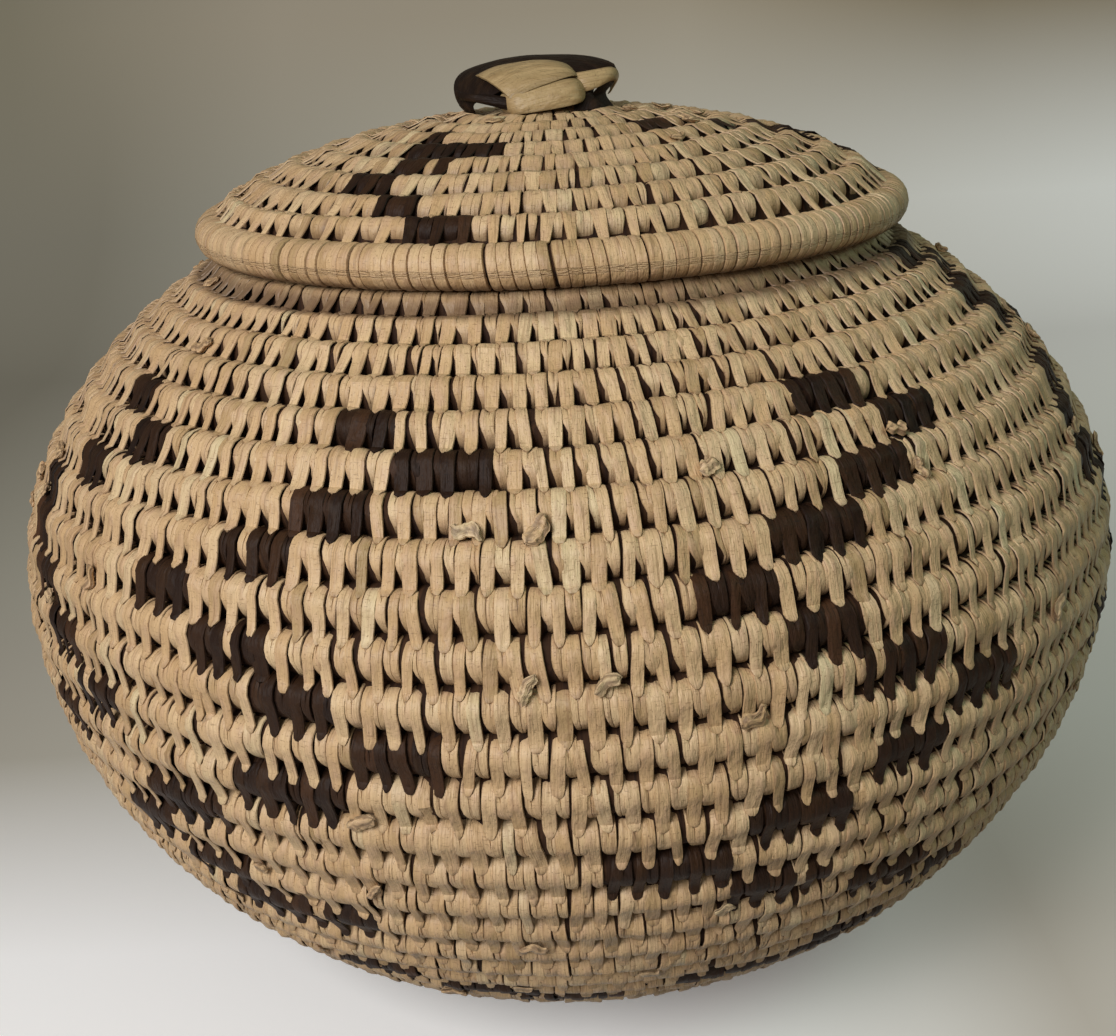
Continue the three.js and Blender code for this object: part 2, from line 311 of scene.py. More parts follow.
class Strips:
    """Like strips of one kind. points is strips x rings x sides x 3 in metres: each ring goes
    once round a strip's section. across and along are millimetres on its surface. A looped
    strip closes on itself round the coil, and any other has an end face at both ends."""

    def __init__(self, points, across, along, painted_shade, tone, looped=False):
        self.points = points
        self.shape = points.shape[:3]
        self.looped = looped
        self.values = {
            "across": np.broadcast_to(across, self.shape),
            "along": np.broadcast_to(along, self.shape),
            "painted_shade": np.broadcast_to(painted_shade, self.shape),
            "tone": np.broadcast_to(tone[:, None, None], self.shape),
        }

    def pick(self, chosen):
        """The strips of this kind that are chosen, as a kind of their own."""
        part = Strips.__new__(Strips)
        part.points = self.points[chosen]
        part.shape = part.points.shape[:3]
        part.looped = self.looped
        part.values = {name: value[chosen] for name, value in self.values.items()}
        return part

    def faces(self):
        """Corner numbers of the four-sided faces, and of the end faces."""
        number = np.arange(self.points[..., 0].size).reshape(self.shape)
        ahead = np.roll(number, -1, axis=1)
        if not self.looped:
            number, ahead = number[:, :-1], ahead[:, :-1]
        sides = [number, np.roll(number, -1, 2), np.roll(ahead, -1, 2), ahead]
        quads = np.stack(sides, axis=-1).reshape(-1, 4)
        if self.looped:
            return quads, np.zeros((0, self.shape[2]), int)
        all_rings = np.arange(self.points[..., 0].size).reshape(self.shape)
        return quads, np.concatenate([all_rings[:, 0, ::-1], all_rings[:, -1]])

    def bake_corners(self):
        """Places of the face corners on a sheet where each strip has a unit square."""
        strips, rings, sides = self.shape
        spans = rings if self.looped else rings - 1
        square = np.array([[0, 0], [0, 1], [1, 1], [1, 0]])
        ring, side = np.meshgrid(np.arange(spans), np.arange(sides), indexing="ij")
        corner = np.stack([ring, side], -1)[:, :, None] + square
        corner = corner / (spans, sides)
        quads = np.broadcast_to(corner, (strips, *corner.shape)).reshape(strips, -1, 2)
        ends = 0 if self.looped else 2 * sides
        return quads, np.full((strips, ends, 2), 0.5)


CELL_SHAPE = 8
CELL_MARGIN = 0.06
SHARP_ANGLE = 38


def strip_mesh(name, kinds, material):
    """One smooth object from kinds of strips, with a bake map where each strip has a cell."""
    kinds = [kind for kind in kinds if kind.shape[0]]
    points = np.concatenate([kind.points.reshape(-1, 3) for kind in kinds])
    quads, ends, quad_uvs, end_uvs, offset = [], [], [], [], 0
    strips = sum(kind.shape[0] for kind in kinds)
    columns = max(1, round(math.sqrt(strips * CELL_SHAPE)))
    rows = math.ceil(strips / columns)
    first = 0
    for kind in kinds:
        kind_quads, kind_ends = kind.faces()
        quads.append(kind_quads + offset)
        ends.append((kind_ends + offset).reshape(-1))
        offset += kind.points[..., 0].size
        number = np.arange(first, first + kind.shape[0])
        cell = np.stack([number // columns, number % columns], -1)[:, None]
        for corners, found in zip(kind.bake_corners(), (quad_uvs, end_uvs)):
            inside = cell + CELL_MARGIN + corners * (1 - 2 * CELL_MARGIN)
            found.append((inside / (rows, columns))[..., ::-1].reshape(-1, 2))
        first += kind.shape[0]
    quads = np.concatenate(quads).reshape(-1)
    end_sizes = np.concatenate(
        [np.full(2 * k.shape[0], k.shape[2]) for k in kinds if not k.looped] or [[]]
    )
    corners = np.concatenate([quads, *ends]).astype(np.int32)
    sizes = np.concatenate([np.full(len(quads) // 4, 4), end_sizes]).astype(np.int32)
    mesh = bpy.data.meshes.new(name)
    mesh.vertices.add(len(points))
    mesh.vertices.foreach_set("co", points.astype(np.float32).reshape(-1))
    mesh.loops.add(len(corners))
    mesh.loops.foreach_set("vertex_index", corners)
    mesh.polygons.add(len(sizes))
    mesh.polygons.foreach_set("loop_start", np.cumsum(sizes) - sizes)
    mesh.update(calc_edges=True)
    mesh.shade_smooth()
    mesh.set_sharp_from_angle(angle=math.radians(SHARP_ANGLE))
    values = {
        value: np.concatenate([kind.values[value].reshape(-1) for kind in kinds])
        for value in kinds[0].values
    }
    strip_map = mesh.uv_layers.new(name="strip")
    flat = np.stack([values["across"], values["along"]], -1)[corners]
    strip_map.data.foreach_set("uv", flat.astype(np.float32).reshape(-1))
    bake_map = mesh.uv_layers.new(name="OFBake")
    cells = np.concatenate(quad_uvs + end_uvs).astype(np.float32)
    bake_map.data.foreach_set("uv", cells.reshape(-1))
    for value in ("painted_shade", "tone"):
        attribute = mesh.attributes.new(value, "FLOAT", "POINT")
        attribute.data.foreach_set("value", values[value].astype(np.float32))
    mesh.materials.append(material)
    return add_object(name, mesh)


def grass_core(wall, last_turn):
    """The bundle from the coil's curled start to this turn, as rings of twelve points."""
    steps = round((last_turn - CORE_START) * CORE_STEPS_PER_TURN)
    turn = np.linspace(CORE_START, last_turn, steps + 1)
    middle, half = wall.row(turn)
    inner = np.maximum(half - CORE_UNDER_LEAF / 2, CORE_LEAST_HALF)
    beside_roll = (turn > wall.turns)[:, None] & (CORE_SIDES < np.pi)
    press = np.where(beside_roll, CORE_END_PRESS, CORE_PRESS)
    pressed = np.abs(np.sin(CORE_SIDES)) == 1
    up = np.where(pressed, half[:, None] + press, inner[:, None]) * np.sin(CORE_SIDES)
    out = (wall.thickness / 2 - CORE_UNDER_LEAF) * np.cos(CORE_SIDES)
    distance = middle[:, None] + up
    points = wall.points(turn[:, None], 0, distance, wall.thickness / 2 - out + 0 * up)
    radius = wall.place(middle, wall.thickness / 2)[:, 0]
    along = np.cumsum(np.gradient(turn) * 2 * np.pi * radius)
    return Strips(points[None], CORE_AROUND, along[:, None], 0, np.zeros(1))


def add_core(name, body, core):
    """A piece of grass core. No CAD node stands for it, because the coils include it."""
    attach(strip_mesh(name, [core], dry_grass), body)


add_core("body_grass_core", "basket", grass_core(body_wall, BODY_CORE_END))


# Body: the stitches
# Split ilala palm leaf, about 3 mm wide, is wound round the core. Every second time round it
# also goes through the row below, so long stitches stand over that row like fingers and
# short wraps lie between them, each split in a V by the finger from the row above.

PAIR_PITCH = 5.75
PITCH_SPREAD = 0.09
ROW_PULL = 0.55
MOST_PULL = 0.35
LONG_WIDTH = 3.25
BODY_WEDGE = 1.95
SHORT_SINK = 0.3
TUCK = 0.5
TIP_ANGLE = 22
PIERCE_REACH = 1.4
UNDYED_SHARE = 0.07
BODY_SEWN_FROM = 0.3
BODY_SEWN_TO = BODY_TURNS + 0.88
TONE_EVENNESS = 2.6
SEED = 1404

# How far a row wanders and swells, and the weight, length and start of the waves it does so
# in, in millimetres along the coil.
ROW_WANDER = 0.2
ROW_SWELL = 0.1
WANDER_WAVES = ((1, 31, 1), (0.7, 13, 0), (0.5, 6.3, 2))
SWELL_WAVES = ((1, 47, 0), (0.8, 11, 2), (0.6, 5.1, 0))

# Places across a strip from its left edge to its right or from its edge to its middle, and
# how many millimetres it is rolled down there.
LONG_PLACES = np.array([-1, -0.9, -0.5, 0, 0.5, 0.9, 1])
LONG_DROP = np.array([0.42, 0.11, 0.02, 0, 0.02, 0.11, 0.42])
HALF_PLACES = np.array([0, 0.12, 0.5, 1])
HALF_DROP = np.array([0.42, 0.1, 0.01, 0])

rng = np.random.default_rng(SEED)


def waves(run, kinds):
    """The sum of these waves at a run of the coil."""
    return sum(weight * np.sin(run / length + start) for weight, length, start in kinds)


def coil_section(wall, turn):
    """Middle, half width, half thickness and depth of the coil's section at this turn. The
    coil wanders and swells a little on its way, as a hand-laid bundle does."""
    middle, half = wall.row(turn)
    run = np.interp(turn, wall.steps, wall.lengths)
    free = np.clip(half - 2, 0, 1)
    middle = middle + ROW_WANDER * free * waves(run, WANDER_WAVES)
    depth = wall.thickness / 2 + 0 * half
    return middle, half, depth - ROW_SWELL * (1.2 + waves(run, SWELL_WAVES)), depth


def lay_pairs(wall, first, last, pitch=PAIR_PITCH):
    """Turns of the long stitches. Each stands over a gap between two of the row before it."""
    table = np.linspace(first - 1, last + 1, SEARCH_STEPS)
    radii = wall.place(wall.row(table)[0], wall.thickness / 2)[:, 0]
    turns = [first]
    below = 0
    while turns[-1] < last:
        step = pitch / (2 * np.pi * np.interp(turns[-1], table, radii))
        turn = turns[-1] + step * rng.normal(1, PITCH_SPREAD)
        while below < len(turns) - 1 and turns[below] < turn - 1:
            below += 1
        if below > 0:
            stand = (turns[below - 1] + turns[below]) / 2 + 1
            turn += ROW_PULL * np.clip(stand - turn, -MOST_PULL * step, MOST_PULL * step)
        turns.append(turn)
    return np.array(turns)


def tones(strips):
    """How pale each strip is, from 0 to 1. Most lie in between."""
    return rng.beta(TONE_EVENNESS, TONE_EVENNESS, strips)


def drift(strips, places, size):
    """A smooth, slow change for each strip, at places that run from 0 to 1."""
    made = np.zeros((strips, len(places)))
    for number in (1, 2, 3):
        phase = rng.uniform(0, 2 * np.pi, (strips, 1))
        weight = rng.normal(0, size / number, (strips, 1))
        made += weight * np.sin(1.4 * np.pi * number * places + phase)
    return made


def sweep(wall, turn, section, crown, path, across, drop, painted_shade, tone, looped=False):
    """Strips along a path round the coil. path is strips x rings x 2: towards the crown of the
    coil, and out of the wall from the coil's middle. across and drop are millimetres along the
    coil and under the path, for each point of each ring."""
    middle, _, _, centre = section
    way = np.gradient(path, axis=1)
    steps = np.linalg.norm(way, axis=-1)
    way /= steps[..., None]
    outward = np.stack([-way[..., 1], way[..., 0]], axis=-1)[:, :, None]
    spot = path[:, :, None] - outward * drop[..., None]
    distance = middle[:, None, None] + crown * spot[..., 0]
    depth = centre[:, None, None] - spot[..., 1]
    points = wall.points(turn[:, None, None], across, distance, depth)
    offset = rng.uniform(0, 900, (2, len(turn), 1, 1))
    along = np.cumsum(steps, axis=1)[..., None]
    from_middle = across - across.mean(axis=2, keepdims=True)
    return Strips(points, from_middle + offset[0], along + offset[1], painted_shade, tone, looped)


def on_coil(angle, half, thick):
    """Points on a coil's section, from 0 degrees outside over the crown at 90."""
    angle = np.radians(angle)
    return np.stack([half * np.sin(angle), thick * np.cos(angle)], axis=-1)


# A long stitch from the tip of its finger on the next row, over the bridge between the rows,
# and over its own row: degrees on the rows' sections, shares of the bridge, how far it is
# lifted or sunk in millimetres, and how full its width is. FLARE gives rings and shares.
TIP_STEPS = np.array([0, 5, 13, 26])
TIP_LIFT = np.array([-0.95, -0.25, 0.08, 0.2])
TIP_FULL = np.array([0.12, 0.44, 0.7, 0.92])
BRIDGE = np.array([0.74, 0.48, 0.22])
OVER_COIL = np.array([0, 22, 45, 67, 90, 113, 136, 158, 180])
FLARE = ([0, 3, 7, 10, 14], [-0.25, -0.22, 0.05, 0.45, 0.5])
OVER_SINK = np.array([0, 0.08, 0.3, 0.5, 0.55, 0.4, 0.2, 0.1, 0])
MIDDLE_FULL = np.array([0.97, 1, 1, 1, 1, 1, 0.97, 0.92, 0.92, 0.97, 1, 1, 1])
BRIDGE_SAG = 0.25
WIDTH_SPREAD = 0.12
WIDTH_DRIFT = 0.05
SLANT = -0.02
SLANT_SPREAD = 0.06
ASIDE_DRIFT = 0.12
TWIST_SPREAD = 0.14
EDGE_SHADE = 0.9
TIP_SHADE = 0.8


def long_stitches(wall, turn, reach, own, held, tip, tone, flare=0):
    """Long stitches. own is the section of the coil that each wraps, and held that of the one
    under its finger. reach is 1 where that one lies further out along the wall, and -1 where
    it lies further in. tip is the angle on that coil's section where the finger ends, and
    flare how much wider the stitch grows from its finger to its crown."""
    count = len(turn)
    away = np.abs(own[0] - held[0])[:, None]
    finger = on_coil(tip[:, None] + TIP_STEPS, held[1][:, None], held[2][:, None])
    finger[..., 0] -= away
    finger[..., 1] += TIP_LIFT + (own[3] - held[3])[:, None]
    sink = OVER_SINK * rng.uniform(0.5, 1.3, (count, 1))
    over = on_coil(OVER_COIL[None], own[1][:, None] - sink, own[2][:, None] - sink)
    share = BRIDGE[None, :, None]
    bridge = finger[:, 3:] * share + over[:, :1] * (1 - share)
    bridge[..., 1] -= rng.normal(BRIDGE_SAG, 0.1, (count, 1)) * np.sin(np.pi * BRIDGE)
    inside = (bridge[:, 1:2] * (1, -1), finger[:, [3, 1, 0]] * (1, -1))
    path = np.concatenate([finger, bridge, over, *inside], axis=1)
    tip_full = TIP_FULL ** rng.uniform(0.6, 1.6, (count, 1))
    middle_full = np.broadcast_to(MIDDLE_FULL, (count, len(MIDDLE_FULL)))
    full = np.concatenate([tip_full, middle_full, tip_full[:, [3, 1, 0]]], axis=1)
    places = np.linspace(0, 1, path.shape[1])
    full = full * (1 + flare * np.interp(np.arange(full.shape[1]), *FLARE))
    wide = rng.normal(1, WIDTH_SPREAD, (count, 1)).clip(0.72, 1.35)
    half_width = LONG_WIDTH / 2 * wide * full * (1 + drift(count, places, WIDTH_DRIFT))
    slope = rng.normal(SLANT, SLANT_SPREAD, (count, 1))
    aside = slope * (path[..., 0] + away * 0.8) + drift(count, places, ASIDE_DRIFT)
    path[..., 1] += rng.normal(0, 0.07, (count, 1)) * np.sign(path[..., 1])
    across = aside[..., None] + half_width[..., None] * LONG_PLACES
    twist = rng.normal(0, TWIST_SPREAD, (count, 1, 1)) + drift(count, places, 0.04)[..., None]
    crease = rng.uniform(-0.05, 0.12, (count, 1, 1)) * (LONG_PLACES == 0)
    drop = LONG_DROP + twist * LONG_PLACES + crease
    # Painted shade: darker along both edges and towards the finger's tip, where it goes under the
    # row.
    near_tip = np.interp(np.arange(path.shape[1]), [0, 1, 3], [TIP_SHADE, 0.35, 0])
    painted_shade = EDGE_SHADE * (np.abs(LONG_PLACES) == 1) + near_tip[:, None]
    return sweep(wall, turn, own, -reach, path, across, drop, painted_shade, tone)


# A short wrap: where its rings stand in degrees on the row's section, how it is drawn aside
# towards its foot and how it parts below the finger's tip, both as degrees and shares. Then
# how long its crack is in degrees and how wide and deep in millimetres, how much of it parts
# and how deep, and the share of the other wraps that are cracked too.
WRAP_ANGLES = np.array(
    [-112, -90, -72, -58, -45, -32, -18, 0, 12, 22, 32, 44, 60, 80, 105, 150, 180, 215]
)
FOOT_DRAWN = ([8, 30, 52, 75], [0, 0.34, 0.8, 1])
PARTED = ([-3, 2, 7, 12, 22, 60, 100], [0, 0.06, 0.3, 0.7, 1, 1, 0])
CRACK_LENGTH = 28
CRACK_HALF = 0.13
CRACK_DEPTH = 0.85
OPENING_SHARE = 0.58
OPENING_DEPTH = 0.6
CRACKED_SHARE = 0.2


def short_wraps(wall, turn, room, reach, own, finger, tip, tone, wedge):
    """Short wraps. Each parts round the finger from the row above, closes again in a crack
    below it, and is drawn aside at its foot so that a wedge of the core shows. room is the
    width between the long stitches beside it, finger where the finger stands in it, not a
    number where there is none, tip the angle at which that finger ends, and wedge the width
    of the bare place at the foot."""
    count = len(turn)
    angles = WRAP_ANGLES[None]
    path = on_coil(angles, (own[1] - 0.12)[:, None], (own[2] - SHORT_SINK)[:, None])
    places = (WRAP_ANGLES - WRAP_ANGLES[0]) / 360
    radius = wall.place(own[0], own[3])[:, :1]
    here = wall.place(own[0][:, None] - reach * path[..., 0], own[3][:, None] - path[..., 1])
    fan = (here[..., 0] / radius).clip(0.5, 1.6)
    half = (room[:, None] * fan + TUCK) / 2 * (1 + drift(count, places, 0.04))
    foot = np.interp(-angles, *FOOT_DRAWN)
    main = rng.normal(wedge, 0.3 * wedge, (count, 1)).clip(0.2, 1.5 * wedge) * foot
    other = rng.normal(0.1, 0.35, (count, 1)).clip(-0.3, 1) * foot
    wander = drift(count, places, 0.08)
    left = wander - half + np.minimum(main, half)
    right = wander + half - np.minimum(other, half * 0.6)
    pierced = np.isfinite(finger)[:, None]
    apart = rng.normal(0, 0.25, (count, 1)) * half
    centre = np.where(pierced, np.nan_to_num(finger)[:, None], apart)
    centre = np.clip(centre + foot * 0.3, left * 0.6 + right * 0.4, left * 0.4 + right * 0.6)
    past_tip = angles - tip[:, None]
    opening = np.interp(past_tip, *PARTED)
    length = rng.normal(CRACK_LENGTH, 12, (count, 1)).clip(8, 60)
    crack = np.clip(1 + past_tip / length, 0, 1) * (angles < 130)
    cracked = rng.random((count, 1)) < CRACKED_SHARE
    crack = np.where(pierced, crack, 0) + cracked * 0.5 * (np.abs(angles) < 70)
    gap = np.where(pierced, opening * half * OPENING_SHARE, 0)
    gap = gap + CRACK_HALF * np.minimum(crack, 1)
    gap = np.minimum(gap, (right - left) * 0.3)
    to_left = left[..., None] + (centre - gap - left)[..., None] * HALF_PLACES
    to_right = right[..., None] + (centre + gap - right)[..., None] * HALF_PLACES
    across = np.concatenate([to_left, centre[..., None], to_right[..., ::-1]], axis=2)
    valley = CRACK_DEPTH * np.minimum(crack, 1) + OPENING_DEPTH * np.where(pierced, opening, 0)
    rolled = HALF_DROP + 0.2 * np.minimum(crack, 1)[..., None] * (HALF_PLACES == 1)
    tilt = rng.normal(0, 0.08, (count, 1, 1)) * (1 - HALF_PLACES)
    drop = np.concatenate([rolled + tilt, valley[..., None], (rolled - tilt)[..., ::-1]], axis=2)
    # Painted shade: darker towards the foot of each wrap, and in its cracks and rolled edges.
    at_foot = np.interp(-angles, [20, 75], [0, 1])[..., None]
    painted_shade = 0.8 * at_foot + 0.6 * (drop > 0.2) + 0 * drop
    return sweep(wall, turn, own, -reach, path, across, drop, painted_shade, tone, looped=True)


def dyed_at(wall, turns, blocks):
    """Which of the stitches at these turns lie in one of the blocks of the dyed pattern."""
    middle, _, _, depth = coil_section(wall, turns)
    turn_length = 2 * np.pi * wall.place(middle, depth)[:, 0]
    inside = np.zeros(len(turns), bool)
    for coil_round, degrees, pairs in blocks:
        off = turns - coil_round - degrees / 360
        inside |= np.abs(off) * turn_length < pairs * PAIR_PITCH / 2
    return inside


def sew(wall, turns, reach, held_at, blocks, wedge, flare=0):
    """All the leaf of one coil. held_at gives the section of the coil under the fingers, and
    blocks the dyed pattern. Returns kinds of strips with their turns and their dye."""
    own = coil_section(wall, turns)
    tips = rng.normal(TIP_ANGLE, 3.5, len(turns))
    tone = tones(len(turns))
    longs = long_stitches(wall, turns, reach, own, held_at(turns), tips, tone, flare)
    between = (turns[1:] + turns[:-1]) / 2
    own = coil_section(wall, between)
    turn_length = 2 * np.pi * wall.place(own[0], own[3])[:, 0]
    room = (np.diff(turns) * turn_length - LONG_WIDTH).clip(0.6, 5)
    above = between - reach
    after = np.searchsorted(turns, above).clip(1, len(turns) - 1)
    nearest = after - (above - turns[after - 1] < turns[after] - above)
    finger = (turns[nearest] - above) * turn_length
    finger = np.where(np.abs(finger) < PIERCE_REACH, finger, np.nan)
    tone = tones(len(between))
    shorts = short_wraps(wall, between, room, reach, own, finger, tips[nearest], tone, wedge)
    undyed = rng.random(len(between)) < UNDYED_SHARE
    dyed_shorts = dyed_at(wall, between, blocks) & ~undyed
    return [(longs, turns, dyed_at(wall, turns, blocks)), (shorts, between, dyed_shorts)]


# Shades of the leaf from dark to pale, and its stains and painted shade: the pinker patches, the
# lines and cracks, and the painted shade that darkens grooves, edges and the places under the
# rims.
LEAF_RAMP = ((0.0, "a58a60"), (0.25, "cba77a"), (0.55, "d5b387"), (0.8, "dcbd92"), (1.0, "dac79c"))
LEAF_STAINS_AND_SHADE = ("c6a184", "7d5a3c", "5b4332")
DYED_RAMP = ((0.0, "1c110b"), (0.4, "2b1a10"), (0.75, "392415"), (1.0, "513523"))
DYED_STAINS_AND_SHADE = ("3d2a1a", "1a1210", "1c1310")
LEAF_ROUGHNESS = 0.5
LEAF_SHINE = 0.4
DYED_ROUGHNESS = 0.55
DYED_SHINE = 0.15

# Waves per millimetre across the strip and along it, and how detailed each pattern is.
RIBS = (3, 0.12, 3)
PATCHES = (0.35, 0.16, 3)
HAIRLINES = (1.1, 0.05, 1)
SPECKS = (2.2, 1.6, 2)
CRACKS = (0.45, 2.6, 3)
RIB_RELIEF = {"Strength": 0.7, "Distance": 0.0002}
CREASE_RELIEF = {"Strength": 0.9, "Distance": 0.0012}


def leaf_material(name, ramp, stains_and_shade, roughness, shine):
    """Split palm leaf: satin, with fine ribs 0.3 mm apart that run along each strip, a few dark
    hairlines, cracks across it where it has dried, pinker patches that lie a little lower, and
    painted shade in the grooves and along the edges."""
    material, tree, shader = new_material(name)
    tone = node(tree, "ShaderNodeAttribute", attribute_name="tone").outputs["Fac"]
    painted_shade = node(tree, "ShaderNodeAttribute", attribute_name="painted_shade").outputs["Fac"]
    ribs = pattern(tree, *RIBS)
    patches = pattern(tree, *PATCHES)
    blush, line, shade_colour = stains_and_shade
    colour = node(tree, "ShaderNodeValToRGB", {"Fac": tone}, ramp).outputs["Color"]
    # The last layer is painted shade, from the strips' own values: darker in grooves, along edges
    # and under the rims.
    for value, low, high, most, other in (
        (patches, 0.45, 0.75, 0.6, blush),
        (ribs, 0.45, 0.75, 0.4, line),
        (pattern(tree, *HAIRLINES), 0.64, 0.67, 0.35, line),
        (pattern(tree, *SPECKS), 0.63, 0.7, 0.65, line),
        (pattern(tree, *CRACKS), 0.61, 0.68, 0.5, line),
        (painted_shade, 0, 1, 0.75, shade_colour),
    ):
        # The other colour comes in as the value goes from low to high.
        limits = {"From_Min": low, "From_Max": high, "To_Max": most}
        share = node(tree, "ShaderNodeMapRange", {"Value": value}, **limits).outputs["Result"]
        links = {"Factor": share, "A": colour}
        mix = node(tree, "ShaderNodeMix", links, data_type="RGBA", B=linear(other))
        colour = mix.outputs["Result"]
    creases = node(tree, "ShaderNodeBump", {"Height": patches}, **CREASE_RELIEF)
    ribbed = {"Height": ribs, "Normal": creases.outputs["Normal"]}
    bump = node(tree, "ShaderNodeBump", ribbed, **RIB_RELIEF)
    finish_material(tree, shader, colour, bump, roughness, shine)
    return material


LEAVES = {
    "natural_leaf": leaf_material(
        "natural_palm_leaf", LEAF_RAMP, LEAF_STAINS_AND_SHADE, LEAF_ROUGHNESS, LEAF_SHINE
    ),
    "dyed_leaf": leaf_material(
        "dyed_palm_leaf", DYED_RAMP, DYED_STAINS_AND_SHADE, DYED_ROUGHNESS, DYED_SHINE
    ),
}

# The dyed pattern: zigzags that step one row at a time. Each block is a round of the coil,
# where its middle lies in degrees from the right seen from above, and its width in pairs.
BODY_BLOCKS = [
    (29, 250, 2.8), (28, 258, 3.8), (27, 249, 3.4), (26, 241, 3.4), (25, 232, 3), (24, 240, 3.8),
    (23, 247, 3.4), (22, 255, 4.1), (21, 245, 4.7), (20, 235, 2.4), (20, 229, 2.4), (19, 225, 3),
    (18, 233, 3.5), (17, 236, 3), (17, 245, 3.8), (14, 245, 4), (13, 257, 4.5), (12, 266, 5),
    (29, 214, 2.4), (28, 222, 2.4), (27, 213, 3), (26, 204, 3), (25, 204, 3), (24, 210, 3.4),
    (23, 215, 3.4), (22, 222, 3), (21, 213, 3.2),
    (29, 299, 3.1), (28, 307, 3.2), (27, 300, 3.5), (26, 292, 4.1), (25, 284, 3.5), (24, 291, 3.5),
    (23, 298, 3.9), (22, 308, 3.5), (21, 299, 3.2), (20, 289, 4.6), (19, 277, 5.2), (18, 288, 4.3),
    (17, 301, 4.1), (16, 309, 4), (14, 302, 4), (13, 286, 4), (13, 298, 4),
    (32, 338, 3), (31, 347, 3), (30, 341, 3.4), (29, 345, 3), (28, 352, 3), (27, 341, 3.4),
    (26, 337, 3.4), (25, 336, 3), (24, 344, 3.4), (23, 352, 3.4), (22, 344, 3), (21, 335, 3.4),
]
# The same four zigzags go on round the back.
BODY_BLOCKS += [(row, degrees - 180, pairs) for row, degrees, pairs in BODY_BLOCKS]


def add_leaf(name, body, kinds, slot, *replaced, material=None):
    """A piece made of leaf strips, standing in for the CAD nodes named."""
    made = strip_mesh(name, kinds, material or LEAVES[slot])
    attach(made, body)
    if replaced:
        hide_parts(*replaced)


def dress_coil(name, body, kinds, last_turn, *dyed_from):
    """One piece for the natural leaf of each round, and one for the dyed leaf from each of the
    rounds in dyed_from up to the next."""
    for turn in range(last_turn + 1):
        chosen = [
            strips.pick((turns >= turn) & (turns < turn + 1) & ~dyed)
            for strips, turns, dyed in kinds
        ]
        node_name = f"{name}_round_{turn:02d}"
        if turn == 0:
            node_name = f"{name}_coil_start"
        if turn == last_turn:
            node_name = f"{name}_coil_tip"
        leaf_name = node_name.replace(name, f"{name}_leaf")
        add_leaf(leaf_name, body, chosen, "natural_leaf", node_name)
    for first, after in zip(dyed_from, dyed_from[1:] + (last_turn + 1,)):
        chosen = [
            strips.pick((turns >= first) & (turns < after) & dyed)
            for strips, turns, dyed in kinds
        ]
        add_leaf(f"{name}_leaf_dyed_{first:02d}", body, chosen, "dyed_leaf")


body_leaf = sew(
    body_wall,
    lay_pairs(body_wall, BODY_SEWN_FROM, BODY_SEWN_TO),
    -1,
    lambda turns: coil_section(body_wall, turns - 1),
    BODY_BLOCKS,
    BODY_WEDGE,
)

# Painted shadow: the shoulder is darker in a ring under the lid's rim, where the rim shades it. It
# comes in and fades out at these distances from the axis.
RIM_SHADOW_BAND = [95, 98, 102.2, 104]
for strips, _, _ in body_leaf:
    from_axis = np.hypot(strips.points[..., 0], strips.points[..., 1]) * 1000
    on_shoulder = strips.points[..., 2] * 1000 > BELLY_HEIGHT
    shade_below = np.interp(from_axis, RIM_SHADOW_BAND, [0, 1, 1, 0]) * on_shoulder
    strips.values["painted_shade"] = np.maximum(strips.values["painted_shade"], shade_below)
dress_coil("body", "basket", body_leaf, BODY_TURNS, 12, 23)


# Body: leaf ends
# Where a strip of leaf runs out, its crinkled end is left proud of the stitches in a groove.

END_LENGTH = 5.8
END_WIDTH = 3
END_RISE = 0.7
END_SLANT = 32
END_SLANT_SPREAD = 25
END_PLEATS = 4
PLEAT_DEPTH = 0.17
END_SIZE_SPREAD = 0.22
END_BEND = 0.5
PLEAT_SHADE = 0.8
END_RINGS = 13
END_SIDES = np.radians(np.arange(0, 360, 20))
BODY_ENDS = 90
BODY_ENDS_SPAN = (0.1, 0.97)


def leaf_ends(wall, turns):
    """Flattened rolls with pleats along them, aslant over the groove beside the coil."""
    count = len(turns)
    along = np.linspace(-1, 1, END_RINGS)[:, None]
    slant = np.radians(rng.normal(END_SLANT, END_SLANT_SPREAD, (count, 1, 1)))
    size = rng.normal(1, END_SIZE_SPREAD, (3, count, 1, 1)).clip(0.6, 1.5)
    twist = rng.normal(0, 0.8, (count, 1, 1)) * along + rng.uniform(0, 6, (count, 1, 1))
    uneven = rng.normal(0, 0.07, (count, END_RINGS, 1))
    pleat = 1 + PLEAT_DEPTH * np.sin(END_PLEATS * END_SIDES + twist) + uneven
    full = pleat * np.sqrt(1.03 - along**6)
    side = END_WIDTH / 2 * size[0] * full * np.cos(END_SIDES)
    run = END_LENGTH / 2 * size[1] * (along + 0.12 * np.sin(END_SIDES + twist)) + 0 * side
    bend = drift(count, along[:, 0] / 2, END_BEND)[..., None]
    across = run * np.cos(slant) - (side + bend) * np.sin(slant)
    up = run * np.sin(slant) + (side + bend) * np.cos(slant)
    middle, half, thick, centre = (value[:, None, None] for value in coil_section(wall, turns))
    off_seam = np.clip(np.abs(run * np.sin(slant)) / half, 0, 1)
    surface = thick * np.sqrt(1 - 0.4 * (1 - off_seam) ** 2)
    rise = END_RISE * size[2] * (0.7 + full * np.sin(END_SIDES))
    depth = centre - surface - rise
    points = wall.points(turns[:, None, None], across, middle + half + up, depth)
    strip_across = np.degrees(END_SIDES) / 30 + rng.uniform(0, 900, (count, 1, 1))
    # Painted shade in the folds between the pleats.
    painted_shade = PLEAT_SHADE * (pleat < 0.98)
    return Strips(points, strip_across, run * 2, painted_shade, rng.beta(3, 3, count), looped=True)


